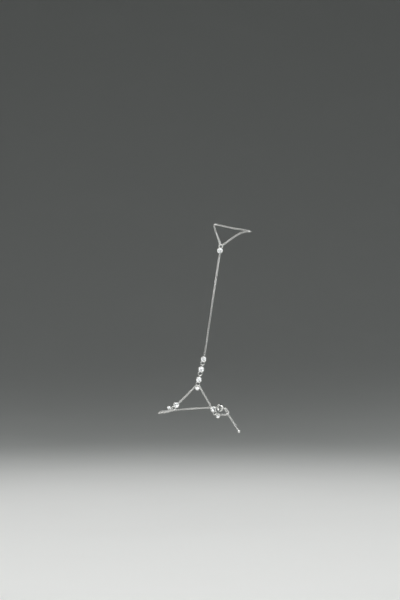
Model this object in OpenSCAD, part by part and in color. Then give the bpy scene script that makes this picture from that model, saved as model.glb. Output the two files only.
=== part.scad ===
// Hand chain bracelet: a fine chain round the wrist, a V of two strands on the back of the
// hand, a row of three stones, a chain up to the index finger and a loop round that finger.
// It keeps the form it has on a raised left hand. X points to the thumb side, Y from the back
// of the hand to the palm, Z to the fingertips. The origin is the middle of the wrist loop.
// Lengths are in millimetres and angles in degrees.

/* [Wrist loop] */
// Width across the wrist, between the middles of the chain
wrist_w = 46.4; // [44:0.2:56]
// Depth from the back of the hand to the palm side
wrist_d = 39; // [36:0.5:46]
// Angle of the left setting round the wrist, from the thumb side
left_turn = 242; // [236:0.5:248]
// Height of the left setting
left_z = 4.3; // [2:0.1:7]
// Angle of the right setting round the wrist
right_turn = 302.5; // [296:0.5:308]
// Height of the right setting
right_z = 1.5; // [0:0.1:5]
// Angle of the clasp's end ring round the wrist
end_turn = 34; // [26:1:44]
// Height of the clasp
clasp_z = 0.4; // [-1:0.1:2]

/* [Stone row] */
// Height of the ring at the foot of the row
foot_z = 18.3; // [16:0.1:24]
// How far that ring lies to the thumb side
foot_x = 2.8; // [0:0.1:5]
// Lean of the row towards the thumb
row_lean = 13; // [8:1:18]
// Distance from stone to stone
row_pitch = 6.8; // [6.6:0.1:8]

/* [Finger loop] */
// Middle of the finger, to the thumb side of the wrist's middle
finger_x = 25.3; // [22:0.1:30]
// Middle of the finger, in front of the wrist's middle
finger_y = 9; // [6:0.5:11]
// Height of the finger loop
finger_z = 119; // [110:1:130]
// Width of the finger loop
finger_w = 24.6; // [22:0.2:28]
// Depth of the finger loop
finger_d = 22.6; // [20:0.2:26]
// Lean of the finger towards the thumb
finger_lean = 11.4; // [8:0.2:14]
// How far the finger's stone hangs below the height of the loop
finger_hang = 14.2; // [12:0.1:16]
// Angle of the finger's stone round the finger
finger_turn = 245.5; // [240:0.5:250]
// How far the middle of the hand chain stands out over the back of the hand
hand_bow = 2.2; // [0:0.1:4]

/* [Cable chain] */
// Length of a link
link_len = 2.2; // [1.9:0.05:2.8]
// Width of a link
link_w = 1.35; // [1.3:0.05:1.6]
// Thickness of a link's wire
link_wire = 0.3; // [0.24:0.02:0.34]
// Clearance where one piece hooks into another
play = 0.13; // [0.1:0.01:0.14]

/* [Extension] */
// Length of a link of the extension
tail_link_len = 2.6; // [2.4:0.05:3.2]
// Width of a link of the extension
tail_link_w = 1.55; // [1.4:0.05:1.8]
// Thickness of its wire
tail_link_wire = 0.34; // [0.3:0.02:0.38]
// Diameter of the drop at its end
end_drop_d = 2; // [1.6:0.1:2.6]
// Height of the drop at its end
end_drop_h = 2.8; // [2.4:0.1:3.6]

/* [Stone settings] */
// Outer diameter of a setting
cup_d = 3.8; // [3.6:0.1:4.2]
// Height of a setting
cup_h = 1.9; // [1.8:0.05:2.4]
// Diameter of a stone
stone_d = 3; // [2.6:0.1:3.1]
// Outer diameter of the soldered ring on a setting
ring_d = 3; // [2.95:0.05:3.2]
// Width of that ring's flattened wire
ring_band = 0.55; // [0.5:0.01:0.56]
// Thickness of that ring's wire
ring_wire = 0.45; // [0.4:0.01:0.5]
// Thickness of the wire of a hanging loop
loop_wire = 0.3; // [0.26:0.02:0.34]

/* [Small drops] */
// Outer diameter of a drop
drop_d = 2.6; // [2.5:0.1:2.9]
// Length of a drop's neck, between its setting and its loop
drop_neck = 0.25; // [0:0.05:0.5]
// Height of a drop's setting
drop_h = 1.4; // [1.3:0.05:1.8]
// Diameter of a drop's stone
drop_stone_d = 2; // [1.6:0.1:2.1]
// How far the side drops stand away from the wrist
drop_tilt = 35; // [28:1:42]
// How far the middle drop stands away from it
centre_tilt = 26; // [20:1:34]
// Swing of the middle drop towards the thumb, from straight down
centre_swing = -7; // [-12:1:-2]
// Swing of the left drop
left_swing = -92; // [-94:1:-84]
// Swing of the right drop
right_swing = 30; // [26:1:38]

/* [Clasp] */
// Outer diameter of the clasp's spring ring
clasp_d = 5.2; // [5:0.1:6]
// Thickness of the spring ring
clasp_wire = 1.1; // [0.9:0.05:1.2]
// Outer diameter of the small loop on the clasp
clasp_eye_d = 2; // [1.8:0.1:2.4]
// Outer diameter of the jump ring on the clasp's loop
clasp_ring_d = 2.4; // [2.2:0.1:3]
// Thickness of those two wires
clasp_ring_wire = 0.4; // [0.34:0.02:0.44]
// Outer diameter of the end ring that the clasp closes on
end_ring_d = 3; // [2.9:0.1:3.6]

/* [Hidden] */
$fn = 32;

// Where the wrist chain runs between its ends: angle round the wrist and height
LEFT_ROUTE = [[226, -0.2], [217, -0.7], [206, -1.3], [194, -1.8], [180, -2.0],
    [150, -1.8], [120, -1.2], [90, -0.5], [72, 0.1]];
RIGHT_ROUTE = [[317, -2.0], [324, -2.5], [334, -2.7], [344, -2.6], [354, -2.1], [365, -1.2], [378, -0.1]];
// Where the finger chain runs: angle round the finger and height over the finger's stone
FINGER_ROUTE = [[230, 8.0], [220, 10.7], [212, 12.5], [203, 14.4], [181, 17.3],
    [150, 17.8], [120, 17.0], [90, 15.8], [60, 14.8], [30, 13.8], [0, 13.1], [-28, 12.8],
    [-48, 12.3], [-62, 11.4], [-74, 10.0], [-85, 8.2], [-95, 6.3]];
// How chains leave the soldered rings: swing from straight down towards the thumb, and dip to the skin
LEFT_LEAVE = [-56, 28];
RIGHT_LEAVE = [72, 14];
FINGER_LEAVE = [[-160, 4], [125, 2]];
// Where the extension runs beyond the end ring
TAIL_ROUTE = [[22.9, 13, -3.6], [25.2, 13.8, -7.3], [27.8, 14.6, -11.4]];
TAIL_END = [29.2, 15, -13.7];

SILVER = [0.80, 0.82, 0.81];
CLEAR = [0.90, 0.95, 0.96];

// Cut of a stone: its widths and its three heights as shares of its diameter, and the heights
// of the ring of star facets and of the lower break as shares of the crown and the pavilion
facets = 8;
table_share = 0.56;
star_share = 0.79;
lower_share = 0.25;
culet_share = 0.02;
crown_share = 0.15;
girdle_share = 0.04;
pavilion_share = 0.43;
star_level = 0.64;
lower_level = 0.77;
// Height of a rim over the seat, how far it reaches over the stone, and the gap round a stone
rim_h = 0.48;
rim_reach = 0.12;
stone_gap = 0.04;
// Taper of a setting towards its back, and the light hole there as a share of the stone
cup_taper = 0.35;
hole_share = 0.4;
// Height of the rings and chains over the back of a setting
ring_level = 0.5;
// How far a soldered ring bites into its setting, and a loop into its stem or drop
ring_bite = 0.55;
loop_bite = 0.12;
// How much thicker the stem under a hanging loop is than the loop's wire
stem_swell = 0.1;
// A chain leaves a ring on edge and turns over within so many links until it lies slanted
settle_links = 4;
settle_turn = 45;
// How strongly a ring sets the facing of the first links
ring_hold = 6;
// How far the extension's hook on the end ring is turned away from the clasp
tail_turn = 31;
// Where the cone of the end drop leaves its ball, as an angle above the ball's equator
neck_turn = 30;
// Stones in the row
row_count = 3;

ring_r = (ring_d - ring_band) / 2;
ring_reach = (cup_d + ring_d) / 2 - ring_bite;
loop_r = (ring_band + loop_wire) / 2 + play;
loop_reach = row_pitch - ring_reach - ring_r;
drop_reach = drop_d / 2 + drop_neck + loop_r + loop_wire / 2 - loop_bite;
tail_loop_r = (ring_wire + loop_wire) / 2 + play;
clasp_r = (clasp_d - clasp_wire) / 2;
clasp_eye_r = (clasp_eye_d - clasp_ring_wire) / 2;
clasp_ring_r = (clasp_ring_d - clasp_ring_wire) / 2;
end_ring_r = (end_ring_d - ring_wire) / 2;

function unit(v) = v / norm(v);
// Turns v, or the nearest direction to it, square to the unit direction d
function square_to(v, d) = unit(v - d * (v * d));
// Distance between the middles of two rings that hook into each other at right angles
function hooked(r1, wire1, r2, wire2) = r1 + r2 - (wire1 + wire2) / 2 - play;
// The crossing point of a chain's end link with a ring that faces out, where the chain leaves
// in the direction away
function hold(centre, out, away, r, wire) = centre + square_to(away, out) * r - away * (wire + play) / 2;

// Places on the oval of the wrist and on the leaning oval of the finger, and their outward directions
function on_wrist(turn, z) = [wrist_w / 2 * cos(turn), wrist_d / 2 * sin(turn), z];
function wrist_out(p) = unit([p.x / pow(wrist_w, 2), p.y / pow(wrist_d, 2), 0]);
function wrist_along(p) = cross([0, 0, 1], wrist_out(p));
function finger_middle(z) = finger_x + (z - finger_z) * tan(finger_lean);
function on_finger(turn, z) =
    [finger_middle(z) + finger_w / 2 * cos(turn), finger_d / 2 * sin(turn) - finger_y, z];
function finger_out(p) =
    unit([(p.x - finger_middle(p.z)) / pow(finger_w, 2), (p.y + finger_y) / pow(finger_d, 2), 0]);

// A smooth curve through the points of a route, its running length, and the point at a length
function bend(p, i, t) = let (
        a = p[max(i - 1, 0)],
        b = p[i],
        c = p[i + 1],
        d = p[min(i + 2, len(p) - 1)])
    b + 0.5 * t * (c - a + t * (2 * a - 5 * b + 4 * c - d + t * (3 * b - a - 3 * c + d)));
function curve(p, steps = 8) = [
    for (i = [0:len(p) - 2]) for (k = [0:steps - 1]) bend(p, i, k / steps), p[len(p) - 1]];
// The direction in the plane of a ring that faces out, swung from straight down towards the thumb
function swung(out, swing) = let (down = square_to([0, 0, -1], out))
    down * cos(swing) + cross(out, down) * sin(swing);
// The direction of a chain that leaves such a ring, dipped towards the skin
function leaving(out, leave) = swung(out, leave[0]) * cos(leave[1]) - out * sin(leave[1]);

// The path of a chain: a straight lead away from each end, and a smooth curve between them
function led(start, start_way, route, end_way, end, lead) =
    concat([start], curve(concat([start + start_way * lead], route, [end + end_way * lead])), [end]);
function lengths(p) = [
    for (i = 0, sum = 0; i < len(p);
        sum = sum + (i + 1 < len(p) ? norm(p[i + 1] - p[i]) : 0), i = i + 1) sum];
function along(p, sums, s) = [
    for (axis = [0:2]) lookup(s, [for (i = [0:len(p) - 1]) [sums[i], p[i][axis]]])];

// The stations of the bracelet: where each setting sits, which way its loop points, which way it faces
foot_at = [foot_x, -wrist_d / 2 * sqrt(1 - pow(2 * foot_x / wrist_w, 2)), foot_z];
row_up = [sin(row_lean), 0, cos(row_lean)];
row_out = [0, -1, 0];
function row_at(i) = foot_at + row_up * (ring_reach + (row_count - i) * row_pitch);
left_at = on_wrist(left_turn, left_z);
left_up = unit(foot_at - left_at);
left_ring_at = left_at - left_up * ring_reach;
left_out = square_to(wrist_out(left_ring_at), left_up);
right_at = on_wrist(right_turn, right_z);
right_up = unit(foot_at - right_at);
right_ring_at = right_at - right_up * ring_reach;
right_out = square_to(wrist_out(right_ring_at), right_up);
finger_at = on_finger(finger_turn, finger_z - finger_hang);
finger_up = unit(row_at(1) + row_up * loop_reach - finger_at);
finger_face = square_to([0, -1, 0] + finger_out(finger_at), finger_up);
finger_ring_at = finger_at - finger_up * ring_reach;

// The clasp's stations behind the wrist
end_ring_at = on_wrist(end_turn, clasp_z);
clasp_step = hooked(end_ring_r, ring_wire, clasp_r, clasp_wire);
clasp_turn = end_turn + clasp_step * 360 / (PI * (wrist_w + wrist_d) / 2);
clasp_at = on_wrist(clasp_turn, clasp_z);
clasp_along = wrist_along(clasp_at);
clasp_eye_reach = (clasp_d + clasp_eye_d) / 2 - clasp_ring_wire / 2;
clasp_ring_at = clasp_at
    + clasp_along * (clasp_eye_reach + hooked(clasp_eye_r, clasp_ring_wire, clasp_ring_r, clasp_ring_wire));

// Stands its children on a place, with their X and Z along two directions square to each other
module stand(at, x_dir, z_dir) {
    y_dir = cross(z_dir, x_dir);
    multmatrix([for (i = [0:2]) [x_dir[i], y_dir[i], z_dir[i], at[i]]]) children();
}

// Stands a setting or a ring on a station: Y runs up to its loop and Z faces outwards
module station(at, up, out) {
    stand(at, cross(up, out), out) children();
}

module wire_ring(r, wire) {
    rotate_extrude() translate([r, 0]) circle(d = wire);
}

// A ring of wire that is rolled flat, with round edges
module flat_ring(r, band, wire) {
    rotate_extrude() translate([r, 0]) {
        square([band - wire, wire], center = true);
        for (side = [-1, 1]) translate([side * (band - wire) / 2, 0]) circle(d = wire);
    }
}

// Distance from one crossing of links to the next
function pitch(length, wire) = length - 2 * wire - play;
fine_pitch = pitch(link_len, link_wire);

module link(length, width, wire) {
    r = (width - wire) / 2;
    straight = length - width;
    for (end = [0, 180]) {
        rotate(end) translate([straight / 2, 0, 0]) rotate(-90)
            rotate_extrude(angle = 180) translate([r, 0]) circle(d = wire);
        rotate(end) translate([-straight / 2, r, 0]) rotate([0, 90, 0]) cylinder(d = wire, h = straight);
    }
}

// A chain along a path. Each link is square to its neighbours, and the roll of the first and
// the last is given: 0 lies flat, 90 stands on edge
module chain(path, out, first_roll, last_roll, length, width, wire) {
    sums = lengths(path);
    total = sums[len(sums) - 1];
    count = ceil(total / pitch(length, wire));
    joints = [for (i = [0:count]) along(path, sums, total * i / count)];
    last = count - 1;
    spare = last_roll - first_roll - 90 * last;
    drift = spare - 180 * round(spare / 180);
    for (i = [0:last]) {
        way = unit(joints[i + 1] - joints[i]);
        middle = (joints[i] + joints[i + 1]) / 2;
        settled = min(1, i / settle_links, (last - i) / settle_links);
        roll = first_roll + 90 * i + drift * i / last + settle_turn * settled;
        stand(middle, way, square_to(out(middle), way)) rotate([roll, 0, 0]) link(length, width, wire);
    }
}

module fine_chain(start, start_way, route, end_way, end, out, first_roll, last_roll) {
    color(SILVER) chain(led(start, start_way, route, end_way, end, fine_pitch), out,
        first_roll, last_roll, link_len, link_w, link_wire);
}

// A round setting open at the back, with a rounded rim turned over the stone
module cup(d, h, stone) {
    seat_z = h - rim_h;
    rim_w = (d - stone) / 2 - stone_gap + rim_reach;
    rim_z = h - rim_w / 2;
    well_r = stone / 2 + stone_gap;
    translate([0, 0, -ring_level]) rotate_extrude() {
        polygon([
            [stone * hole_share / 2, 0],
            [d / 2 - cup_taper, 0],
            [d / 2, h / 2],
            [d / 2, rim_z],
            [d / 2 - rim_w, rim_z],
            [well_r, seat_z + stone * girdle_share + stone_gap],
            [well_r, seat_z - stone_gap]]);
        translate([d / 2 - rim_w / 2, rim_z]) intersection() {
            circle(d = rim_w);
            translate([-rim_w / 2, 0]) square([rim_w, rim_w]);
        }
    }
}

// A round cut stone: eight-sided table, star and kite facets, sixteen-sided girdle, pavilion
module brilliant(d, h) {
    crown = d * crown_share;
    pavilion = d * pavilion_share;
    girdle = d * girdle_share;
    half_facet = 180 / facets;
    translate([0, 0, h - rim_h - ring_level]) hull() {
        linear_extrude(girdle) circle(d = d, $fn = 2 * facets);
        linear_extrude(girdle + crown * star_level) rotate(half_facet)
            circle(d = d * star_share, $fn = facets);
        linear_extrude(girdle + crown) circle(d = d * table_share, $fn = facets);
        translate([0, 0, -pavilion * lower_level]) linear_extrude(pavilion) rotate(half_facet)
            circle(d = d * lower_share, $fn = facets);
        translate([0, 0, -pavilion]) linear_extrude(pavilion) circle(d = d * culet_share, $fn = facets);
    }
}

module hanging_loop(reach, stem_from) {
    translate([0, reach, 0]) rotate([0, 90, 0]) wire_ring(loop_r, loop_wire);
    translate([0, stem_from, 0]) rotate([-90, 0, 0])
        cylinder(d = loop_wire + stem_swell, h = reach - loop_r - stem_from);
}

module setting() {
    color(SILVER) {
        cup(cup_d, cup_h, stone_d);
        translate([0, -ring_reach, 0]) flat_ring(ring_r, ring_band, ring_wire);
        hanging_loop(loop_reach, cup_d / 2 - cup_taper);
    }
}

module stone() {
    color(CLEAR) brilliant(stone_d, cup_h);
}

module drop_setting() {
    color(SILVER) {
        cup(drop_d, drop_h, drop_stone_d);
        hanging_loop(drop_reach, drop_d / 2 - cup_taper);
    }
}

module drop_stone() {
    color(CLEAR) brilliant(drop_stone_d, drop_h);
}

// Hangs a drop on the wire of a soldered ring: swing turns it in the ring's plane, from straight
// down towards the thumb, and tilt lifts it away from the wrist
module hang(ring_at, out, swing, tilt) {
    away = swung(out, swing);
    pull = away * cos(tilt) + out * sin(tilt);
    station(ring_at + away * ring_r + pull * drop_reach, -pull, square_to(out, pull)) children();
}

// The places of the six settings and of the three drops
module on_left() station(left_at, left_up, left_out) children();
module on_right() station(right_at, right_up, right_out) children();
module on_row(i) station(row_at(i), row_up, row_out) children();
module on_finger_face() station(finger_at, finger_up, finger_face) children();
module from_foot() hang(foot_at, row_out, centre_swing, centre_tilt) children();
module from_left() hang(left_ring_at, left_out, left_swing, drop_tilt) children();
module from_right() hang(right_ring_at, right_out, right_swing, drop_tilt) children();

// A strand faces as the row does at its top and as its setting does at its foot
function strand_out(p, out, z) = row_out * (p.z - z) + out * (foot_z - p.z);
// Near a soldered ring a chain faces as the ring does, and further off as the skin under it
function settled_out(p, skin_out, ring_at, ring_out) =
    skin_out + ring_out * ring_hold * pow(max(0, 1 - norm(p - ring_at) / (settle_links * link_len)), 2);

// A strand of the V, from the ring at the foot of the row to the loop of a side setting
module strand(at, up, out, z) {
    side = cross(up, out);
    fine_chain(
        hold(foot_at, row_out, -up, ring_r, ring_band), -up, [],
        up, hold(at + up * loop_reach, side, up, loop_r, loop_wire),
        function (p) strand_out(p, out, z), 90, 0);
}

module left_strand() {
    strand(left_at, left_up, left_out, left_z);
}

module right_strand() {
    strand(right_at, right_up, right_out, right_z);
}

module wrist_chain_left() {
    start_way = leaving(left_out, LEFT_LEAVE);
    end_way = wrist_along(clasp_ring_at);
    fine_chain(
        hold(left_ring_at, left_out, start_way, ring_r, ring_band), start_way,
        [for (row = LEFT_ROUTE) on_wrist(row[0], row[1])],
        end_way, hold(clasp_ring_at, [0, 0, 1], end_way, clasp_ring_r, clasp_ring_wire),
        function (p) settled_out(p, wrist_out(p), left_ring_at, left_out), 90, 0);
}

module wrist_chain_right() {
    start_way = leaving(right_out, RIGHT_LEAVE);
    end_way = -wrist_along(end_ring_at);
    fine_chain(
        hold(right_ring_at, right_out, start_way, ring_r, ring_band), start_way,
        [for (row = RIGHT_ROUTE) on_wrist(row[0], row[1])],
        end_way, hold(end_ring_at, [0, 0, 1], end_way, end_ring_r, ring_wire),
        function (p) settled_out(p, wrist_out(p), right_ring_at, right_out), 90, 0);
}

module hand_chain() {
    start = hold(row_at(1) + row_up * loop_reach, cross(row_up, row_out), row_up, loop_r, loop_wire);
    end = hold(finger_at + finger_up * loop_reach, cross(finger_up, finger_face), finger_up,
        loop_r, loop_wire);
    fine_chain(start, row_up, [(start + end) / 2 - [0, hand_bow, 0]], finger_up, end,
        function (p) row_out, 0, 0);
}

module finger_chain() {
    first_way = leaving(finger_face, FINGER_LEAVE[0]);
    last_way = leaving(finger_face, FINGER_LEAVE[1]);
    fine_chain(
        hold(finger_ring_at, finger_face, first_way, ring_r, ring_band), first_way,
        [for (row = FINGER_ROUTE) on_finger(row[0], finger_at.z + row[1])],
        last_way, hold(finger_ring_at, finger_face, last_way, ring_r, ring_band),
        function (p) settled_out(p, finger_out(p), finger_ring_at, finger_face), 90, 90);
}

// A closed spring-ring clasp with its small eye
module clasp() {
    color(SILVER) station(clasp_at, clasp_along, wrist_out(clasp_at)) {
        wire_ring(clasp_r, clasp_wire);
        translate([0, clasp_eye_reach, 0]) wire_ring(clasp_eye_r, clasp_ring_wire);
    }
}

module clasp_ring() {
    color(SILVER) station(clasp_ring_at, clasp_along, wrist_out(clasp_at)) rotate([0, 90, 0])
        wire_ring(clasp_ring_r, clasp_ring_wire);
}

module end_ring() {
    color(SILVER) station(end_ring_at, wrist_along(end_ring_at), wrist_out(end_ring_at))
        rotate([0, 90, 0]) wire_ring(end_ring_r, ring_wire);
}

tail_way = unit(TAIL_END - TAIL_ROUTE[len(TAIL_ROUTE) - 1]);
tail_out = wrist_out(end_ring_at) * cos(tail_turn) - wrist_along(end_ring_at) * sin(tail_turn);

// The extension hangs from the outer side of the end ring
module extension_chain() {
    hook = end_ring_at + tail_out * end_ring_r;
    start_way = unit(TAIL_ROUTE[0] - hook);
    path = led(
        hook - start_way * (ring_wire + play) / 2, start_way, TAIL_ROUTE,
        -tail_way, TAIL_END - tail_way * (tail_loop_r - (loop_wire + play) / 2),
        pitch(tail_link_len, tail_link_wire));
    color(SILVER) chain(path, function (p) tail_out, 90, 0, tail_link_len, tail_link_w, tail_link_wire);
}

// A pear-shaped metal drop under its own loop
module end_drop() {
    ball_r = end_drop_d / 2;
    neck_z = ball_r * sin(neck_turn);
    neck_r = ball_r * cos(neck_turn);
    color(SILVER) station(TAIL_END, -tail_way, square_to(tail_out, tail_way)) {
        rotate([0, 90, 0]) wire_ring(tail_loop_r, loop_wire);
        translate([0, ball_r - end_drop_h - tail_loop_r, 0]) {
            sphere(r = ball_r);
            rotate([-90, 0, 0]) translate([0, 0, neck_z])
                cylinder(r1 = neck_r, r2 = loop_wire / 2, h = end_drop_h - ball_r - neck_z);
        }
    }
}

wrist_chain_left();
wrist_chain_right();
left_strand();
right_strand();
on_left() setting();  // left_setting
on_left() stone();  // left_stone
on_right() setting();  // right_setting
on_right() stone();  // right_stone
on_row(1) setting();  // row_setting_1
on_row(2) setting();  // row_setting_2
on_row(3) setting();  // row_setting_3
on_row(1) stone();  // row_stone_1
on_row(2) stone();  // row_stone_2
on_row(3) stone();  // row_stone_3
from_foot() drop_setting();  // centre_drop
from_foot() drop_stone();  // centre_drop_stone
from_left() drop_setting();  // left_drop
from_left() drop_stone();  // left_drop_stone
from_right() drop_setting();  // right_drop
from_right() drop_stone();  // right_drop_stone
hand_chain();
on_finger_face() setting();  // finger_setting
on_finger_face() stone();  // finger_stone
finger_chain();
clasp();
clasp_ring();
end_ring();
extension_chain();
end_drop();
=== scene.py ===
"""Hand chain bracelet in rhodium-plated sterling silver with clear cubic zirconia.

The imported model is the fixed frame: every link, setting and stone here takes its place and its
directions from the node that it stands for. Lengths are in metres. Angles are in radians, apart
from those of arcs, which are in degrees. X points to the right of the photograph, Y away from the
camera and Z up.
"""

from __future__ import annotations

import logging
import math
from dataclasses import dataclass
from enum import Enum
from typing import Any, Iterable, Sequence

import bmesh
import bpy
import numpy as np
from mathutils import Matrix, Vector

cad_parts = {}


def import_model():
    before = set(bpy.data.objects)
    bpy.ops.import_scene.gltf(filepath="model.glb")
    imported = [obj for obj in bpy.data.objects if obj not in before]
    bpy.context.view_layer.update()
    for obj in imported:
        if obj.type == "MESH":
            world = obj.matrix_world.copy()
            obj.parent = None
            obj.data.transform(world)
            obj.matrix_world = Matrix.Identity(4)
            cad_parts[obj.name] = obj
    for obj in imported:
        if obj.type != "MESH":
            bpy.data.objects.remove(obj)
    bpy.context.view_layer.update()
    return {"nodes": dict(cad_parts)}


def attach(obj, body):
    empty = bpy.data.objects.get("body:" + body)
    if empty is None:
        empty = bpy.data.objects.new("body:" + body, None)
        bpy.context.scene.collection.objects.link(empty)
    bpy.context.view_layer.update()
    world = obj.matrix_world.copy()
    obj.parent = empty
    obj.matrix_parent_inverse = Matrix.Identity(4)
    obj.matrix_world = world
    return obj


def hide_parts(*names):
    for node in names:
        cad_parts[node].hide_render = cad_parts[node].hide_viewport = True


MM = 0.001
# Points of one mesh that lie closer than this are one point
SAME_POINT = 0.001 * MM
# Where a colour Mix node keeps its factor, its two colours and its result
MIX_FACTOR, MIX_A, MIX_B, MIX_RESULT = 0, 6, 7, 2
LOG = logging.getLogger("hand_chain")


class Slot(Enum):
    """The material slots of the record."""

    SILVER = "silver"
    CLEAR_STONE = "clear_stone"


class Shading(Enum):
    """How the light runs over the faces of a piece: an edge sharper than the value stays crisp."""

    ROUNDED = math.radians(38)
    FACETED = 0.0


# Colour and node helpers


def linear(code: str) -> tuple[float, float, float, float]:
    """Turns an sRGB hex colour into linear light.

    Args:
        code: six hex digits after a hash sign.

    Returns:
        Red, green, blue and an alpha of one.
    """
    shares = [int(code[i : i + 2], 16) / 255 for i in (1, 3, 5)]
    # The transfer curve of the sRGB standard
    light = [s / 12.92 if s <= 0.04045 else ((s + 0.055) / 1.055) ** 2.4 for s in shares]
    return light[0], light[1], light[2], 1.0


def add_node(
    tree: bpy.types.NodeTree,
    kind: str,
    settings: dict[str, Any] | None = None,
    links: dict[str, bpy.types.NodeSocket] | None = None,
) -> bpy.types.Node:
    """Adds one shader node.

    Args:
        tree: the node tree that takes the node.
        kind: Blender's name of the node.
        settings: values by name, of the node's own properties or of its input sockets.
        links: output sockets of other nodes, by the name of the input that each one feeds.

    Returns:
        The new node.
    """
    node = tree.nodes.new(kind)
    for name, value in (settings or {}).items():
        if name in node.inputs:
            node.inputs[name].default_value = value
        else:
            setattr(node, name, value)
    for name, socket in (links or {}).items():
        tree.links.new(socket, node.inputs[name])
    return node


def blank_material(name: str) -> tuple[bpy.types.Material, bpy.types.NodeTree]:
    """Makes a material with an empty node tree.

    Args:
        name: what the material is called.

    Returns:
        The material and its node tree.
    """
    material = bpy.data.materials.new(name)
    material.use_nodes = True
    material.node_tree.nodes.clear()
    return material, material.node_tree


# Finishes


@dataclass(frozen=True)
class PlatedSilver:
    """Sterling silver under a thin rhodium plate, tumble polished after it was drawn or cast.

    The plate makes it whiter than bare silver. The tumbling leaves soft dents, so that a wire
    glitters along its length instead of shining evenly. They are drawn a few tenths of a millimetre
    wide, which is coarser than real ones, so that they still show. Handling leaves wider clouds in
    the gloss.
    """

    name: str
    tint: str
    shade: str
    roughness: float
    dull: float
    dent_mm: float
    dent_depth: float
    dent_rise_mm: float = 0.05
    dent_detail: float = 1.0
    cloud_mm: float = 2.4
    cloud_detail: float = 3.0

    def material(self) -> bpy.types.Material:
        """Builds the finish from noise at the real size of the dents and of the clouds.

        Returns:
            The material.
        """
        material, tree = blank_material(self.name)
        place = add_node(tree, "ShaderNodeTexCoord").outputs["Object"]
        cloud = add_node(
            tree,
            "ShaderNodeTexNoise",
            {"Scale": 1 / (self.cloud_mm * MM), "Detail": self.cloud_detail},
            {"Vector": place},
        )
        colour = add_node(tree, "ShaderNodeMix", {"data_type": "RGBA"})
        colour.inputs[MIX_A].default_value = linear(self.tint)
        colour.inputs[MIX_B].default_value = linear(self.shade)
        tree.links.new(cloud.outputs["Fac"], colour.inputs[MIX_FACTOR])
        gloss = add_node(
            tree,
            "ShaderNodeMapRange",
            {"To Min": self.roughness, "To Max": self.dull},
            {"Value": cloud.outputs["Fac"]},
        )
        dents = add_node(
            tree,
            "ShaderNodeTexNoise",
            {"Scale": 1 / (self.dent_mm * MM), "Detail": self.dent_detail},
            {"Vector": place},
        )
        bump = add_node(
            tree,
            "ShaderNodeBump",
            {"Strength": self.dent_depth, "Distance": self.dent_rise_mm * MM},
            {"Height": dents.outputs["Fac"]},
        )
        shader = add_node(
            tree,
            "ShaderNodeBsdfPrincipled",
            {"Metallic": 1.0},
            {
                "Base Color": colour.outputs[MIX_RESULT],
                "Roughness": gloss.outputs["Result"],
                "Normal": bump.outputs["Normal"],
            },
        )
        add_node(tree, "ShaderNodeOutputMaterial", links={"Surface": shader.outputs["BSDF"]})
        return material


@dataclass(frozen=True)
class CubicZirconia:
    """Clear cubic zirconia, cut and polished: sharp facets that turn the light back to the front."""

    # It bends light far more than glass does, so white flashes stand next to dark facets
    name: str = "cubic_zirconia_polished"
    body: str = "#F4F7F8"
    refraction: float = 2.16
    film_mm: float = 1.5
    film_detail: float = 2.0
    film: float = 0.04

    def material(self) -> bpy.types.Material:
        """Builds the finish, with the faint film of a small stone that has been handled.

        Returns:
            The material.
        """
        material, tree = blank_material(self.name)
        place = add_node(tree, "ShaderNodeTexCoord").outputs["Object"]
        film = add_node(
            tree,
            "ShaderNodeTexNoise",
            {"Scale": 1 / (self.film_mm * MM), "Detail": self.film_detail},
            {"Vector": place},
        )
        gloss = add_node(
            tree,
            "ShaderNodeMapRange",
            {"To Min": 0.0, "To Max": self.film},
            {"Value": film.outputs["Fac"]},
        )
        shader = add_node(
            tree,
            "ShaderNodeBsdfPrincipled",
            {"Base Color": linear(self.body), "IOR": self.refraction, "Transmission Weight": 1.0},
            {"Roughness": gloss.outputs["Result"]},
        )
        add_node(tree, "ShaderNodeOutputMaterial", links={"Surface": shader.outputs["BSDF"]})
        return material


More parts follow.
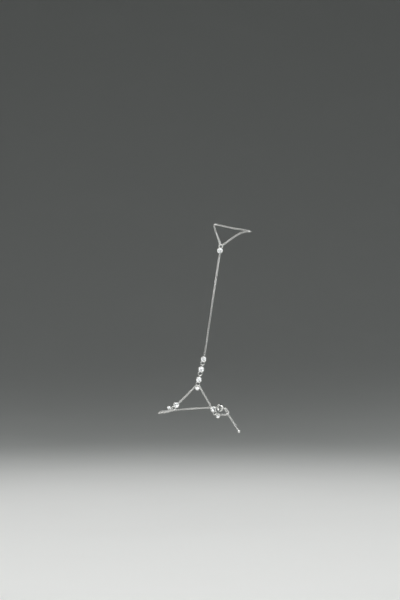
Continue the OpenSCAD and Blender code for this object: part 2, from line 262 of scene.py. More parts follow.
@dataclass(frozen=True)
class PaperWithPaintedShade:
    """Matt studio paper, pale where it lies under the jewel, with painted shade that darkens it further out
    and up the wall, and a faint mottle.
    """

    # Uncoated fibres scatter the light, so it shows no gloss and its shade runs on evenly
    name: str = "matt_paper_painted_shade"
    pale: str = "#F0F1EF"
    # The colour of the painted shade, reached far from the jewel and up the wall
    painted_shade_tone: str = "#ADB0AE"
    shade_from: float = 0.15
    shade_to: float = 0.8
    mottle_mm: float = 90.0
    mottle_detail: float = 4.0
    mottle: float = 0.04
    roughness: float = 0.9

    def material(self) -> bpy.types.Material:
        """Builds the paper, with painted shade that deepens with the distance from the spot under the jewel.

        Returns:
            The material.
        """
        material, tree = blank_material(self.name)
        place = add_node(tree, "ShaderNodeTexCoord").outputs["Object"]
        mottle = add_node(
            tree,
            "ShaderNodeTexNoise",
            {"Scale": 1 / (self.mottle_mm * MM), "Detail": self.mottle_detail},
            {"Vector": place},
        )
        away = add_node(tree, "ShaderNodeVectorMath", {"operation": "LENGTH"}, {"Vector": place})
        # Painted shade: the paper is darkened by its distance from the spot under the jewel, in place of the
        # light's fall-off
        shade = add_node(
            tree,
            "ShaderNodeMapRange",
            {"interpolation_type": "SMOOTHERSTEP", "From Min": self.shade_from, "From Max": self.shade_to},
            {"Value": away.outputs["Value"]},
        )
        uneven = add_node(
            tree,
            "ShaderNodeMapRange",
            {"To Min": -self.mottle, "To Max": self.mottle},
            {"Value": mottle.outputs["Fac"]},
        )
        blend = add_node(tree, "ShaderNodeMath", {"operation": "ADD", "use_clamp": True})
        tree.links.new(shade.outputs["Result"], blend.inputs[0])
        tree.links.new(uneven.outputs["Result"], blend.inputs[1])
        colour = add_node(tree, "ShaderNodeMix", {"data_type": "RGBA"})
        colour.inputs[MIX_A].default_value = linear(self.pale)
        colour.inputs[MIX_B].default_value = linear(self.painted_shade_tone)
        tree.links.new(blend.outputs["Value"], colour.inputs[MIX_FACTOR])
        shader = add_node(
            tree,
            "ShaderNodeBsdfPrincipled",
            {"Roughness": self.roughness},
            {"Base Color": colour.outputs[MIX_RESULT]},
        )
        add_node(tree, "ShaderNodeOutputMaterial", links={"Surface": shader.outputs["BSDF"]})
        return material


# Shapes

# A ring in the XY plane turned to stand in the YZ plane, and a Z axis turned to lie along Y
UPRIGHT = Matrix.Rotation(math.pi / 2, 4, "Y")
LYING = Matrix.Rotation(-math.pi / 2, 4, "X")
# The first and last angle of the two halves of a full turn
RIGHT_HALF, LEFT_HALF = (-90, 90), (90, 270)


@dataclass(frozen=True)
class Shell:
    """A closed skin: one point a row, and faces that name their points by number."""

    points: np.ndarray
    faces: list[tuple[int, ...]]

    def moved(self, place: np.ndarray) -> Shell:
        """Returns the shell carried by a 4 by 4 matrix."""
        return Shell(self.points @ place[:3, :3].T + place[:3, 3], self.faces)


def grid_faces(rows: int, columns: int, closed: bool) -> list[tuple[int, ...]]:
    """Joins a grid of points into four-sided faces; the columns always close into a ring.

    Args:
        rows: how many rings of points there are.
        columns: how many points each ring has.
        closed: whether the last ring joins the first.

    Returns:
        The faces.
    """
    faces = []
    for row in range(rows if closed else rows - 1):
        after = (row + 1) % rows
        for column in range(columns):
            beside = (column + 1) % columns
            quad = (row, column), (row, beside), (after, beside), (after, column)
            faces.append(tuple(r * columns + c for r, c in quad))
    return faces


def joined(shells: Iterable[Shell]) -> Shell:
    """Puts several shells into one, without melting them together.

    Args:
        shells: the shells.

    Returns:
        One shell with all their points and faces.
    """
    points, faces, count = [], [], 0
    for shell in shells:
        points.append(shell.points)
        faces += [tuple(i + count for i in face) for face in shell.faces]
        count += len(shell.points)
    return Shell(np.vstack(points), faces)


def wire_loop(path: np.ndarray, radii: np.ndarray, sides: int) -> Shell:
    """Bends round wire along a closed flat path.

    Args:
        path: the middle of the wire in the XY plane, one point a row, counter-clockwise.
        radii: the radius of the wire at each point of the path.
        sides: how many sides the wire has.

    Returns:
        The bent wire.
    """
    ahead = np.roll(path, -1, axis=0) - np.roll(path, 1, axis=0)
    ahead /= np.linalg.norm(ahead, axis=1, keepdims=True)
    outward = np.stack([ahead[:, 1], -ahead[:, 0]], axis=1)
    turn = np.linspace(0, 2 * math.pi, sides, endpoint=False)
    flat = path[:, None, :] + outward[:, None, :] * (radii[:, None] * np.cos(turn))[:, :, None]
    rise = radii[:, None] * np.sin(turn)
    points = np.concatenate([flat, rise[:, :, None]], axis=2).reshape(-1, 3)
    return Shell(points, grid_faces(len(path), sides, closed=True))


def wire_ring(radius: float, wire: float, steps: int = 40, sides: int = 14) -> Shell:
    """Bends wire into a round ring in the XY plane.

    Args:
        radius: from the middle of the ring to the middle of the wire.
        wire: thickness of the wire.
        steps: how many points the ring has.
        sides: how many sides the wire has.

    Returns:
        The ring.
    """
    turn = np.linspace(0, 2 * math.pi, steps, endpoint=False)
    path = radius * np.stack([np.cos(turn), np.sin(turn)], axis=1)
    return wire_loop(path, np.full(steps, wire / 2), sides)


def flat_ring(
    radius: float, band: float, thickness: float, steps: int = 48, edge_steps: int = 8
) -> Shell:
    """Bends wire that was rolled flat, with round edges, into a ring in the XY plane.

    Args:
        radius: from the middle of the ring to the middle of the band.
        band: width of the flattened wire.
        thickness: its thickness, across the plane of the ring.
        steps: how many sides the ring has.
        edge_steps: how many points each round edge has.

    Returns:
        The ring.
    """
    edge, side = thickness / 2, (band - thickness) / 2
    section = arc((radius + side, 0), edge, *RIGHT_HALF, edge_steps)
    section += arc((radius - side, 0), edge, *LEFT_HALF, edge_steps)
    return turned(section, steps, closed=True)


def turned(profile: Sequence[tuple[float, float]], steps: int, closed: bool) -> Shell:
    """Turns a profile round the Z axis, as a lathe does.

    Args:
        profile: distance from the axis and height of each point.
        steps: how many sides the turned shape has.
        closed: whether the last point joins the first. An open profile that starts or ends on
            the axis has its points there made into one.

    Returns:
        The turned shape.
    """
    turn = np.linspace(0, 2 * math.pi, steps, endpoint=False)
    rows = [p for p in profile if closed or p[0] > 0]
    ring = np.stack([np.cos(turn), np.sin(turn), np.ones(steps)], axis=1)
    points = np.vstack([ring * (r, r, z) for r, z in rows])
    faces = grid_faces(len(rows), steps, closed)
    for pole, row in ((profile[0], 0), (profile[-1], len(rows) - 1)):
        if not closed and pole[0] == 0:
            points = np.vstack([points, (0, 0, pole[1])])
            tip, base = len(points) - 1, row * steps
            ends = [(base + i, base + (i + 1) % steps) for i in range(steps)]
            faces += [(tip, b, a) if row == 0 else (tip, a, b) for a, b in ends]
    return Shell(points, faces)


def arc(
    middle: tuple[float, float], radius: float, start: float, end: float, steps: int
) -> list[tuple[float, float]]:
    """Lists points along an arc.

    Args:
        middle: the middle of the arc.
        radius: its radius.
        start: the angle of its first point, in degrees.
        end: the angle of its last point, in degrees.
        steps: how many points it has.

    Returns:
        The points.
    """
    turns = np.radians(np.linspace(start, end, steps))
    return [(middle[0] + radius * math.cos(t), middle[1] + radius * math.sin(t)) for t in turns]


def corners(count: int, radius: float, height: float, shift: float = 0.0) -> list[tuple[float, ...]]:
    """Lists the corners of a level polygon round the Z axis.

    Args:
        count: how many corners it has.
        radius: how far they lie from the axis.
        height: how high they lie.
        shift: the angle of the first corner.

    Returns:
        The corners.
    """
    turns = [shift + 2 * math.pi * i / count for i in range(count)]
    return [(radius * math.cos(t), radius * math.sin(t), height) for t in turns]


def set_at(x: float = 0.0, y: float = 0.0, z: float = 0.0, turn: Matrix | None = None) -> np.ndarray:
    """Makes the matrix that turns a shape and then sets it on a place.

    Args:
        x: how far it goes along X.
        y: how far it goes along Y.
        z: how far it goes along Z.
        turn: the turn before that, or none.

    Returns:
        The 4 by 4 matrix.
    """
    return np.array(Matrix.Translation((x, y, z)) @ (turn or Matrix.Identity(4)))


def laid(along: np.ndarray, out: np.ndarray, at: np.ndarray) -> np.ndarray:
    """Makes the matrix that lays a shape along given directions.

    Args:
        along: where the shape's X axis points.
        out: where its Z axis points, square to along.
        at: where its origin lies.

    Returns:
        The 4 by 4 matrix.
    """
    place = np.eye(4)
    place[:3, :3] = np.stack([along, np.cross(out, along), out], axis=1)
    place[:3, 3] = at
    return place


def mesh_of(name: str, shell: Shell) -> bpy.types.Mesh:
    """Makes a Blender mesh of a shell, with its faces looking outwards.

    Args:
        name: what the mesh is called.
        shell: the shell.

    Returns:
        The mesh.
    """
    mesh = bpy.data.meshes.new(name)
    mesh.from_pydata(shell.points.tolist(), [], shell.faces)
    work = bmesh.new()
    work.from_mesh(mesh)
    bmesh.ops.recalc_face_normals(work, faces=work.faces)
    work.to_mesh(mesh)
    work.free()
    return mesh


def soldered(name: str, shells: Sequence[Shell]) -> bpy.types.Mesh:
    """Melts closed shells together into one skin, as solder does, and welds near points there.

    Args:
        name: what the mesh is called.
        shells: the closed shells, each of which meets one before it.

    Returns:
        The one mesh.
    """
    bodies = [bpy.data.objects.new(f"{name}_{i}", mesh_of(name, s)) for i, s in enumerate(shells)]
    for body in bodies:
        bpy.context.scene.collection.objects.link(body)
    for other in bodies[1:]:
        union = bodies[0].modifiers.new(other.name, "BOOLEAN")
        union.operation = "UNION"
        union.solver = "MANIFOLD"
        union.object = other
    depsgraph = bpy.context.evaluated_depsgraph_get()
    mesh = bpy.data.meshes.new_from_object(bodies[0].evaluated_get(depsgraph))
    for body in bodies:
        bpy.data.objects.remove(body)
    work = bmesh.new()
    work.from_mesh(mesh)
    bmesh.ops.remove_doubles(work, verts=work.verts, dist=SAME_POINT)
    work.to_mesh(mesh)
    work.free()
    mesh.name = name
    return mesh


# What the frame says


@dataclass(frozen=True)
class Solid:
    """One loose solid of a node: its middle, its own directions from the longest, and its size."""

    points: np.ndarray
    centroid: np.ndarray
    middle: np.ndarray
    axes: np.ndarray
    size: np.ndarray


def measured(points: np.ndarray, faces: np.ndarray) -> Solid:
    """Measures a solid by its skin.

    Args:
        points: its points, one a row.
        faces: its triangles, as rows of point numbers.

    Returns:
        The measured solid.
    """
    a, b, c = (points[faces[:, i]] for i in range(3))
    area = np.linalg.norm(np.cross(b - a, c - a), axis=1)
    centre = (a + b + c) / 3
    centroid = area @ centre / area.sum()
    spread = centre - centroid
    axes = np.linalg.eigh((spread * area[:, None]).T @ spread)[1].T[::-1]
    along = (points - centroid) @ axes.T
    low, high = along.min(axis=0), along.max(axis=0)
    return Solid(points, centroid, centroid + (low + high) / 2 @ axes, axes, high - low)


def loose_parts(faces: np.ndarray, count: int) -> np.ndarray:
    """Finds which points hang together by their triangles.

    Args:
        faces: the triangles, as rows of point numbers.
        count: how many points there are.

    Returns:
        A label for each point: the lowest number among the points that it hangs together with.
    """
    label = np.arange(count)
    while True:
        lowest = label.copy()
        least = label[faces].min(axis=1)
        for corner in range(faces.shape[1]):
            np.minimum.at(lowest, faces[:, corner], least)
        lowest = lowest[lowest]
        if np.array_equal(lowest, label):
            return label
        label = lowest


def solids_of(node: bpy.types.Object) -> list[Solid]:
    """Finds the loose solids of a CAD node, such as the links of a chain.

    A solid is what hangs together by its triangles, once points in one place are made into one.

    Args:
        node: the CAD node.

    Returns:
        Its solids, each measured.
    """
    mesh = node.data
    mesh.calc_loop_triangles()
    places = np.empty((len(mesh.vertices), 3))
    mesh.vertices.foreach_get("co", places.ravel())
    triangles = np.empty((len(mesh.loop_triangles), 3), int)
    mesh.loop_triangles.foreach_get("vertices", triangles.ravel())
    grid = np.round(places / SAME_POINT).astype(int)
    _, first, number = np.unique(grid, axis=0, return_index=True, return_inverse=True)
    points, faces = places[first], number.reshape(-1)[triangles]
    label = loose_parts(faces, len(points))
    solids = []
    for group in np.unique(label):
        own = np.flatnonzero(label == group)
        mine = faces[label[faces[:, 0]] == group]
        solids.append(measured(points[own], np.searchsorted(own, mine)))
    return solids


# Sub-assemblies


@dataclass
class Assembly:
    """What every sub-assembly shares: the frame's nodes and the way a piece is finished."""

    nodes: dict[str, bpy.types.Object]

    def solid(self, node: str) -> Solid:
        """Measures a node that is one solid."""
        return solids_of(self.nodes[node])[0]

    def dress(
        self,
        name: str,
        mesh: bpy.types.Mesh,
        node: str,
        finish: bpy.types.Material,
        slot: Slot,
        shading: Shading,
    ) -> bpy.types.Object:
        """Gives a mesh its finish and lets it stand for a node.

        Args:
            name: what the piece is called.
            mesh: its mesh, in place.
            node: the CAD node that it stands for.
            finish: its material.
            slot: the record's slot of that material; not used.
            shading: how its faces are shaded.

        Returns:
            The finished piece.
        """
        piece = bpy.data.objects.new(name, mesh)
        bpy.context.scene.collection.objects.link(piece)
        mesh.materials.clear()
        mesh.materials.append(finish)
        rounded = shading is Shading.ROUNDED
        mesh.polygons.foreach_set("use_smooth", [rounded] * len(mesh.polygons))
        if rounded:
            mesh.set_sharp_from_angle(angle=shading.value)
        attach(piece, "root")
        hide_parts(node)
        LOG.info("%s stands for %s with %d faces", name, node, len(mesh.polygons))
        return piece


@dataclass
class CableChain(Assembly):
    """Oval cable chain: every link is bent from round wire and closed with a bead of solder."""

    length: float = 2.2 * MM
    width: float = 1.35 * MM
    wire: float = 0.3 * MM
    # The swell is the share by which the bead makes the wire thicker
    bead_length: float = 0.14 * MM
    bead_swell: float = 0.16
    bend_steps: int = 11
    bead_steps: int = 7
    sides: int = 12

    def link(self) -> Shell:
        """Bends one link, long side along X, with the solder bead on its lower side.

        Returns:
            The link.
        """
        bend = (self.width - self.wire) / 2
        half = (self.length - self.width) / 2
        right = np.array(arc((half, 0), bend, *RIGHT_HALF, self.bend_steps))
        left = np.array(arc((-half, 0), bend, *LEFT_HALF, self.bend_steps))
        seam_x = np.linspace(-half, half, self.bead_steps + 2)[1:-1]
        seam = np.stack([seam_x, np.full(self.bead_steps, -bend)], axis=1)
        path = np.vstack([right, left, seam])
        radii = np.full(len(path), self.wire / 2)
        radii[-self.bead_steps :] *= 1 + self.bead_swell * np.exp(-((seam_x / self.bead_length) ** 2))
        return wire_loop(path, radii, self.sides)

    def build(self, node: str, finish: bpy.types.Material) -> bpy.types.Object:
        """Lays a link on every link of a chain node.

        Args:
            node: the chain's CAD node.
            finish: its material.

        Returns:
            The chain.
        """
        link = self.link()
        links = [
            link.moved(laid(solid.axes[0], solid.axes[2], solid.middle))
            for solid in solids_of(self.nodes[node])
        ]
        mesh = mesh_of(node, joined(links))
        return self.dress(f"{node}_links", mesh, node, finish, Slot.SILVER, Shading.ROUNDED)


@dataclass
class RoundBrilliant(Assembly):
    """A round brilliant with its table, eight stars, eight kites, and the girdle and pavilion facets."""

    diameter: float = 3.0 * MM
    # The width of the table and the heights of the three zones, as shares of the diameter
    table: float = 0.56
    crown: float = 0.15
    girdle: float = 0.04
    pavilion: float = 0.43
    # How far the star points reach over the crown, and the lower points' share of the girdle
    star_reach: float = 0.5
    lower_reach: float = 0.2
    folds: int = 8

    def height(self) -> float:
        """Returns the height of the table over the lower edge of the girdle."""
        return self.diameter * (self.girdle + self.crown)

    def cut(self) -> Shell:
        """Cuts the stone: its kites are flat because the star and lower points lie in their planes.

        Returns:
            The stone, with the lower edge of its girdle at the origin.
        """
        # Lengths are shares of the diameter here, and the last line gives them their real size
        n, half = self.folds, math.pi / self.folds
        middle = math.cos(half)
        table_r, girdle_r = self.table / 2, 0.5
        top, edge = self.girdle + self.crown, self.girdle
        star_r = (table_r + self.star_reach * (girdle_r - table_r)) / middle
        star_z = top - self.star_reach * self.crown
        low_r = self.lower_reach * girdle_r / middle
        low_z = -self.pavilion * (1 - self.lower_reach)

        points = corners(n, table_r, top) + corners(n, star_r, star_z, half)
        points += corners(2 * n, girdle_r, edge) + corners(2 * n, girdle_r, 0.0)
        points += corners(n, low_r, low_z, half) + [(0.0, 0.0, -self.pavilion)]
        # The number of the first point of each ring
        star, rim, foot, low, culet = n, 2 * n, 4 * n, 6 * n, 7 * n
        faces: list[tuple[int, ...]] = [tuple(range(n))]
        for i in range(n):
            j, before = (i + 1) % n, (i - 1) % n
            k, after = 2 * i, (2 * i + 2) % (2 * n)
            faces.append((i, star + i, j))
            faces.append((i, star + before, rim + k, star + i))
            faces.append((star + i, rim + k, rim + k + 1))
            faces.append((star + i, rim + k + 1, rim + after))
            faces.append((low + i, foot + k + 1, foot + k))
            faces.append((low + i, foot + after, foot + k + 1))
            faces.append((culet, low + i, foot + k, low + before))
        for k in range(2 * n):
            beside = (k + 1) % (2 * n)
            faces.append((rim + k, foot + k, foot + beside, rim + beside))
        return Shell(np.array(points) * self.diameter, faces)

    def facing(self, node: str) -> tuple[np.ndarray, np.ndarray]:
        """Finds which way a stone looks and where the middle of its table is.

        Args:
            node: the stone's CAD node.

        Returns:
            The direction out of the table, and the table's middle.
        """
        solid = self.solid(node)
        out = solid.axes[2]
        reach = (solid.points - solid.centroid) @ out
        if reach.max() > -reach.min():
            out, reach = -out, -reach
        return out, solid.centroid + out * reach.max()


@dataclass
class BezelSetting(Assembly):
    """A round bezel cup with its rim turned over the stone, a soldered ring and a hanging loop."""

    stone: RoundBrilliant
    # The cup narrows to its back by the taper, and the hole there is a share of the stone's width
    cup_d: float = 3.8 * MM
    cup_h: float = 1.9 * MM
    taper: float = 0.35 * MM
    hole: float = 0.4
    foot_round: float = 0.09 * MM
    foot_arc: tuple[float, float] = (-90.0, -20.0)
    # The rim stands over the seat, is rolled in over the stone and cut bright inside
    rim_h: float = 0.48 * MM
    rim_reach: float = 0.12 * MM
    rim_arc: tuple[float, float] = (0.0, 140.0)
    bright_cut: float = 0.1 * MM
    stone_gap: float = 0.04 * MM
    # The ring is flattened wire that bites into the cup, at this level over the back
    has_ring: bool = True
    ring_d: float = 3.0 * MM
    ring_band: float = 0.55 * MM
    ring_wire: float = 0.45 * MM
    ring_bite: float = 0.55 * MM
    ring_level: float = 0.5 * MM
    # A fillet of solder is a ball of this radius; the arc runs from near its foot to near its top
    solder: float = 0.28 * MM
    solder_arc: tuple[float, float] = (-67.0, 67.0)
    # The loop stands on a stem that flares to the cup, and leaves its neighbour's ring some play
    loop_wire: float = 0.3 * MM
    loop_reach: float = 2.725 * MM
    play: float = 0.13 * MM
    stem_wire: float = 0.4 * MM
    stem_flare: float = 1.3
    # How finely each of them is drawn
    steps: int = 48
    foot_steps: int = 4
    rim_steps: int = 9
    solder_steps: int = 6
    loop_steps: int = 28
    wire_sides: int = 12
    pin_sides: int = 16

    def table_level(self) -> float:
        """Returns the height of the stone's table over the level of the rings."""
        return self.cup_h - self.rim_h - self.ring_level + self.stone.height()

    def loop_r(self) -> float:
        """Returns the radius of the hanging loop, to the middle of its wire."""
        return (self.ring_band + self.loop_wire) / 2 + self.play

    def profile(self) -> list[tuple[float, float]]:
        """Draws half of the cup's section: back, tapered wall, rolled rim, bright cut and seat.

        Returns:
            The distance from the axis and the height of each of its points.
        """
        outer, well = self.cup_d / 2, self.stone.diameter / 2 + self.stone_gap
        rim_w = outer - well + self.rim_reach
        rim_z = self.cup_h - rim_w / 2
        seat = self.cup_h - self.rim_h
        rounding = self.foot_round
        lip = (outer - rim_w, rim_z)
        wall = arc((outer - self.taper - rounding, rounding), rounding, *self.foot_arc, self.foot_steps)
        roll = arc((outer - rim_w / 2, rim_z), rim_w / 2, *self.rim_arc, self.rim_steps)
        under = seat + self.stone.diameter * self.stone.girdle + self.stone_gap
        section = [(self.stone.diameter * self.hole / 2, 0.0), *wall, (outer, self.cup_h / 2), *roll]
        section += [(lip[0], lip[1] + self.bright_cut), lip, (well, under), (well, seat - self.stone_gap)]
        return [(r, z - self.ring_level) for r, z in section]

    def shells(self) -> list[Shell]:
        """Makes the cup, the ring, the loop, its stem and the solder where they meet.

        Returns:
            Their shells, each of which meets the cup or one before it.
        """
        loop_r, stem_r = self.loop_r(), self.stem_wire / 2
        stem_from = self.cup_d / 2 - self.taper
        stem_h = self.loop_reach - loop_r - stem_from
        flare = (stem_r * self.stem_flare, 0.0)
        section = [(0.0, 0.0), flare, (stem_r, stem_h / 2), (stem_r, stem_h), (0.0, stem_h)]
        stem = turned(section, self.pin_sides, closed=False)
        loop = wire_ring(loop_r, self.loop_wire, self.loop_steps, self.wire_sides)
        shells = [
            turned(self.profile(), self.steps, closed=True),
            stem.moved(set_at(y=stem_from, turn=LYING)),
            loop.moved(set_at(y=self.loop_reach, turn=UPRIGHT)),
        ]
        if self.has_ring:
            shells += self.ring_shells()
        return shells

    def ring_shells(self) -> list[Shell]:
        """Makes the soldered ring and its two fillets of solder on the cup.

        Returns:
            The ring and the fillets.
        """
        ring_r = (self.ring_d - self.ring_band) / 2
        reach = (self.cup_d + self.ring_d) / 2 - self.ring_bite
        cup_r = self.cup_d / 2 - self.taper * (1 - self.ring_level / (self.cup_h / 2))
        meet_y = (cup_r**2 - ring_r**2 + reach**2) / (2 * reach)
        meet_x = math.sqrt(cup_r**2 - meet_y**2)
        edge = arc((0, 0), self.solder, *self.solder_arc, self.solder_steps)
        fillet = turned([(0.0, -self.solder), *edge, (0.0, self.solder)], self.pin_sides, closed=False)
        ring = flat_ring(ring_r, self.ring_band, self.ring_wire, self.steps)
        return [ring.moved(set_at(y=-reach)), *(fillet.moved(set_at(x, -meet_y)) for x in (-meet_x, meet_x))]

    def build(
        self, node: str, stone_node: str, silver: bpy.types.Material, crystal: bpy.types.Material
    ) -> list[bpy.types.Object]:
        """Builds a setting and its stone where their nodes are.

        Args:
            node: the setting's CAD node.
            stone_node: the stone's CAD node.
            silver: the finish of the setting.
            crystal: the finish of the stone.

        Returns:
            The setting and the stone.
        """
        out, table = self.stone.facing(stone_node)
        solid = self.solid(node)
        origin = table - out * self.table_level()
        up = solid.axes[0] - out * (solid.axes[0] @ out)
        up /= np.linalg.norm(up)
        reach = (solid.points - origin) @ up
        loop_is_further = reach.max() > -reach.min()
        if loop_is_further == self.has_ring:
            up = -up
        place = laid(np.cross(up, out), out, origin)
        cup = soldered(node, [shell.moved(place) for shell in self.shells()])
        seat = set_at(z=self.table_level() - self.stone.height())
        stone = mesh_of(stone_node, self.stone.cut().moved(place @ seat))
        return [
            self.dress(f"{node}_cup", cup, node, silver, Slot.SILVER, Shading.ROUNDED),
            self.dress(f"{stone_node}_cut", stone, stone_node, crystal, Slot.CLEAR_STONE, Shading.FACETED),
        ]


@dataclass
class JumpRing(Assembly):
    """A closed ring of round wire, with the sizes of the end ring unless others are given."""

    outer: float = 3.0 * MM
    wire: float = 0.45 * MM

    def build(self, node: str, finish: bpy.types.Material) -> bpy.types.Object:
        """Lays the ring on its node.

        Args:
            node: the ring's CAD node.
            finish: its material.

        Returns:
            The ring.
        """
        solid = self.solid(node)
        ring = wire_ring((self.outer - self.wire) / 2, self.wire)
        mesh = mesh_of(node, ring.moved(laid(solid.axes[0], solid.axes[2], solid.middle)))
        return self.dress(f"{node}_wire", mesh, node, finish, Slot.SILVER, Shading.ROUNDED)


@dataclass
class SpringRing(Assembly):
    """The clasp at the back of the wrist loop: a plain closed spring ring with its small eye."""

    outer: float = 5.2 * MM
    wire: float = 1.1 * MM
    eye: float = 2.0 * MM
    eye_wire: float = 0.4 * MM
    steps: int = 64
    sides: int = 20
    eye_steps: int = 32
    eye_sides: int = 12

    def build(self, node: str, finish: bpy.types.Material) -> bpy.types.Object:
        """Lays the clasp on its node, with the eye at the lighter end.

        Args:
            node: the clasp's CAD node.
            finish: its material.

        Returns:
            The clasp.
        """
        solid = self.solid(node)
        along = solid.axes[0]
        if (solid.centroid - solid.middle) @ along > 0:
            along = -along
        middle = solid.middle + along * (self.outer - solid.size[0]) / 2
        place = laid(along, solid.axes[2], middle)
        aside = set_at(x=(self.outer + self.eye - self.eye_wire) / 2)
        ring = wire_ring((self.outer - self.wire) / 2, self.wire, self.steps, self.sides)
        eye = wire_ring((self.eye - self.eye_wire) / 2, self.eye_wire, self.eye_steps, self.eye_sides)
        mesh = soldered(node, [ring.moved(place), eye.moved(place @ aside)])
        return self.dress(f"{node}_body", mesh, node, finish, Slot.SILVER, Shading.ROUNDED)


@dataclass
class EndDrop(Assembly):
    """The pear-shaped silver drop that weights the free end of the extension."""

    ball: float = 2.0 * MM
    height: float = 2.8 * MM
    loop_r: float = 0.505 * MM
    wire: float = 0.3 * MM
    # From just beside the lowest point of the ball to where the neck leaves it
    ball_arc: tuple[float, float] = (-80.0, 30.0)
    ball_steps: int = 12
    steps: int = 32
    loop_steps: int = 28
    wire_sides: int = 12

    def build(self, node: str, finish: bpy.types.Material) -> bpy.types.Object:
        """Lays the drop on its node, with the ball at the heavier end.

        Args:
            node: the drop's CAD node.
            finish: its material.

        Returns:
            The drop.
        """
        solid = self.solid(node)
        along = solid.axes[0]
        if (solid.centroid - solid.middle) @ along > 0:
            along = -along
        ball_r = self.ball / 2
        middle = solid.middle + along * (ball_r - solid.size[0] / 2)
        place = laid(solid.axes[2], along, middle)
        top = self.height - ball_r
        pear = [(0.0, -ball_r), *arc((0, 0), ball_r, *self.ball_arc, self.ball_steps)]
        pear += [(self.wire / 2, top), (0.0, top)]
        loop = wire_ring(self.loop_r, self.wire, self.loop_steps, self.wire_sides)
        loop = loop.moved(set_at(z=top + self.loop_r, turn=UPRIGHT))
        shells = [turned(pear, self.steps, closed=False), loop]
        mesh = soldered(node, [shell.moved(place) for shell in shells])
        return self.dress(f"{node}_body", mesh, node, finish, Slot.SILVER, Shading.ROUNDED)


# Studio


@dataclass(frozen=True)
class SoftBox:
    """A rectangle of soft light that the camera doesn't see."""

    name: str
    place: tuple[float, float, float]
    width: float
    height: float
    glow: float
    # A cloth grid narrows the light to this angle, which spares the paper beside the box
    spread: float = math.radians(120)

    def build(self, aim: Vector) -> None:
        """Hangs the light and turns it to the jewel; its power follows from its glow and its size.

        Args:
            aim: the point that it faces.
        """
        light = bpy.data.lights.new(self.name, "AREA")
        light.shape, light.size, light.size_y = "RECTANGLE", self.width, self.height
        light.energy = self.glow * math.pi * self.width * self.height
        light.spread = self.spread
        box = bpy.data.objects.new(self.name, light)
        box.location = self.place
        box.rotation_euler = (aim - box.location).to_track_quat("-Z", "Y").to_euler()
        box.visible_camera = False
        bpy.context.scene.collection.objects.link(box)


@dataclass
class Studio:
    """A bowl of matt paper with painted shade round the jewel, with soft boxes all round and a dim ceiling.
    """

    # The paper lies flat out to the floor's radius, sweeps up and ends in an upright wall
    floor_z: float = -0.085
    floor_r: float = 0.7
    sweep_r: float = 1.3
    wall_h: float = 2.2
    sweep_steps: int = 24
    steps: int = 96
    ceiling: str = "#6E7072"
    ceiling_light: float = 0.25
    # Pale paper whose darkening away from the jewel is painted shade
    paper: PaperWithPaintedShade = PaperWithPaintedShade()
    # The name, place, width, height and glow of each box
    boxes: tuple[SoftBox, ...] = (
        SoftBox("key_box", (-0.92, -0.68, 0.60), 0.6, 0.8, 1.65),
        SoftBox("fill_box", (0.98, -0.52, 0.58), 0.6, 0.8, 1.5),
        SoftBox("top_box", (0.0, -0.80, 0.95), 0.8, 0.4, 1.95),
        SoftBox("front_box", (0.0, -1.15, 0.42), 0.9, 0.5, 1.35),
        SoftBox("left_rim_box", (-0.80, 0.65, 0.50), 0.5, 0.8, 1.15),
        SoftBox("right_rim_box", (0.72, 0.76, 0.50), 0.5, 0.8, 1.15),
    )

    def build(self, aim: Vector) -> None:
        """Sets up the paper, the lights and the ceiling.

        Args:
            aim: the point that the lights face.
        """
        sweep = arc((self.floor_r, self.floor_z + self.sweep_r), self.sweep_r, -90, 0, self.sweep_steps)
        wall = (self.floor_r + self.sweep_r, self.floor_z + self.wall_h)
        bowl = turned([(0.0, self.floor_z), *sweep, wall], self.steps, closed=False)
        mesh = bpy.data.meshes.new("paper_bowl")
        mesh.from_pydata(bowl.points.tolist(), [], bowl.faces)
        mesh.polygons.foreach_set("use_smooth", [True] * len(mesh.polygons))
        mesh.materials.append(self.paper.material())
        paper = bpy.data.objects.new("paper_bowl", mesh)
        bpy.context.scene.collection.objects.link(paper)
        for box in self.boxes:
            box.build(aim)
        world = bpy.data.worlds.new("ceiling")
        world.use_nodes = True
        sky = world.node_tree.nodes["Background"]
        sky.inputs["Color"].default_value = linear(self.ceiling)
        sky.inputs["Strength"].default_value = self.ceiling_light
        bpy.context.scene.world = world
        bpy.context.scene.view_settings.view_transform = "Standard"


@dataclass
class PhotoCamera:
    """The photograph's camera: level, and square to the row of settings."""

    distance: float = 1.0
    aim: tuple[float, float, float] = (0.0042, -0.0195, 0.0728)
    # The picture is 600 pixels of 0.65 mm high at the place that it aims at
    field_height: float = 600 * 0.65 * MM
    sensor: float = 36.0
    nearest: float = 0.05
    furthest: float = 20.0

    def build(self) -> None:
        """Sets up the camera; the sensor spans the photograph's long side, which is its height."""
        lens = bpy.data.cameras.new("photo_camera")
        lens.sensor_fit = "AUTO"
        lens.sensor_width = self.sensor
        lens.lens = self.sensor * self.distance / self.field_height
        lens.clip_start, lens.clip_end = self.nearest, self.furthest
        camera = bpy.data.objects.new("photo_camera", lens)
        camera.location = Vector(self.aim) - Vector((0, self.distance, 0))
        camera.rotation_euler = (math.pi / 2, 0, 0)
        bpy.context.scene.collection.objects.link(camera)
        bpy.context.scene.camera = camera


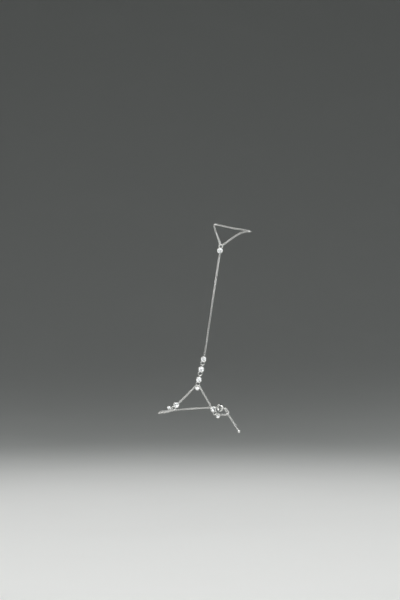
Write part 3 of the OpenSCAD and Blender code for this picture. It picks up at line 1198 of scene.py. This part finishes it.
@dataclass
class HandChain:
    """The whole jewel, from the wrist chain to the finger loop."""

    nodes: dict[str, bpy.types.Object]
    fine_chains: tuple[str, ...] = (
        "wrist_chain_left",
        "wrist_chain_right",
        "left_strand",
        "right_strand",
        "hand_chain",
        "finger_chain",
    )
    settings: tuple[tuple[str, str], ...] = (
        ("left_setting", "left_stone"),
        ("right_setting", "right_stone"),
        ("row_setting_1", "row_stone_1"),
        ("row_setting_2", "row_stone_2"),
        ("row_setting_3", "row_stone_3"),
        ("finger_setting", "finger_stone"),
    )
    drops: tuple[str, ...] = ("centre_drop", "left_drop", "right_drop")

    def build(self) -> None:
        """Builds the chains, the settings with their stones, the drops, the clasp and its rings."""
        # Drawn wire is left with a fine grain, which softens its shine, and dents that break it up
        wire = PlatedSilver(
            "sterling_silver_drawn_wire",
            tint="#EFEFEC",
            shade="#DADBD8",
            roughness=0.16,
            dull=0.30,
            dent_mm=0.35,
            dent_depth=0.25,
        ).material()
        # Castings are polished one by one, so they mirror the soft boxes more sharply
        cast = PlatedSilver(
            "sterling_silver_polished_casting",
            tint="#F2F2EF",
            shade="#DEDFDC",
            roughness=0.08,
            dull=0.22,
            dent_mm=0.5,
            dent_depth=0.2,
        ).material()
        crystal = CubicZirconia().material()
        for node in self.fine_chains:
            CableChain(self.nodes).build(node, wire)
        extension = CableChain(self.nodes, length=2.6 * MM, width=1.55 * MM, wire=0.34 * MM)
        extension.build("extension_chain", wire)
        large = RoundBrilliant(self.nodes)
        for node, stone in self.settings:
            BezelSetting(self.nodes, large).build(node, stone, cast, crystal)
        small = RoundBrilliant(self.nodes, diameter=2.0 * MM)
        drop = BezelSetting(
            self.nodes, small, cup_d=2.6 * MM, cup_h=1.4 * MM, loop_reach=2.135 * MM, has_ring=False
        )
        for node in self.drops:
            drop.build(node, f"{node}_stone", cast, crystal)
        SpringRing(self.nodes).build("clasp", cast)
        JumpRing(self.nodes, outer=2.4 * MM, wire=0.4 * MM).build("clasp_ring", wire)
        JumpRing(self.nodes).build("end_ring", wire)
        EndDrop(self.nodes).build("end_drop", cast)


def main() -> None:
    """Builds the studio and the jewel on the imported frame."""
    logging.basicConfig(level=logging.INFO, format="%(name)s: %(message)s")
    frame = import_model()
    camera = PhotoCamera()
    camera.build()
    Studio().build(Vector(camera.aim))
    HandChain(frame["nodes"]).build()


if __name__ == "__main__":
    main()
